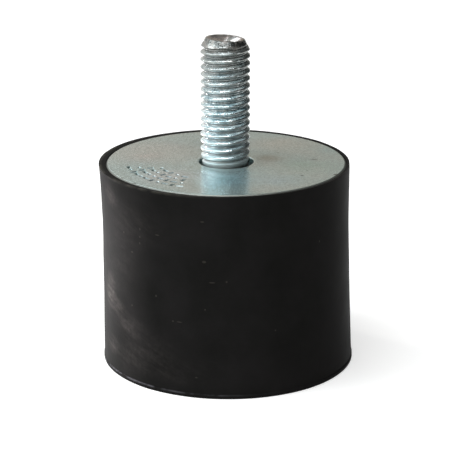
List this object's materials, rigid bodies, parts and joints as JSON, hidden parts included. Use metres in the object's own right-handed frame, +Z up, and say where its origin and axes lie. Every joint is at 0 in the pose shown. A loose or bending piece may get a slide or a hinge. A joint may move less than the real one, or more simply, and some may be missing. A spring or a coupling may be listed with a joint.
{
  "type": "bobbin vibration mount",
  "caption": "Cylindrical rubber vibration mount bonded between flush steel plates, with a threaded stud on top and a tapped blind hole in its foot.",
  "frame": {"origin": "centre of the foot, on the axis of the rubber and of both plates", "axes": "+Z up the axis and out along the stud; +X to the right in the picture, which looks along +Y"},
  "size_m": [0.0508, 0.0508, 0.0658],
  "materials": {
    "rubber": "moulded, satin",
    "plated_sheet": "zinc plated, semi-gloss",
    "plated_stud": "rolled thread, zinc plated, semi-gloss",
    "plated_bush": "turned, zinc plated, semi-gloss"
  },
  "bodies": {
    "root": {"rubber_body": "rubber", "upper_plate": "plated_sheet", "lower_plate": "plated_sheet", "stud": "plated_stud", "threaded_bush": "plated_bush"}
  },
  "joints": []
}
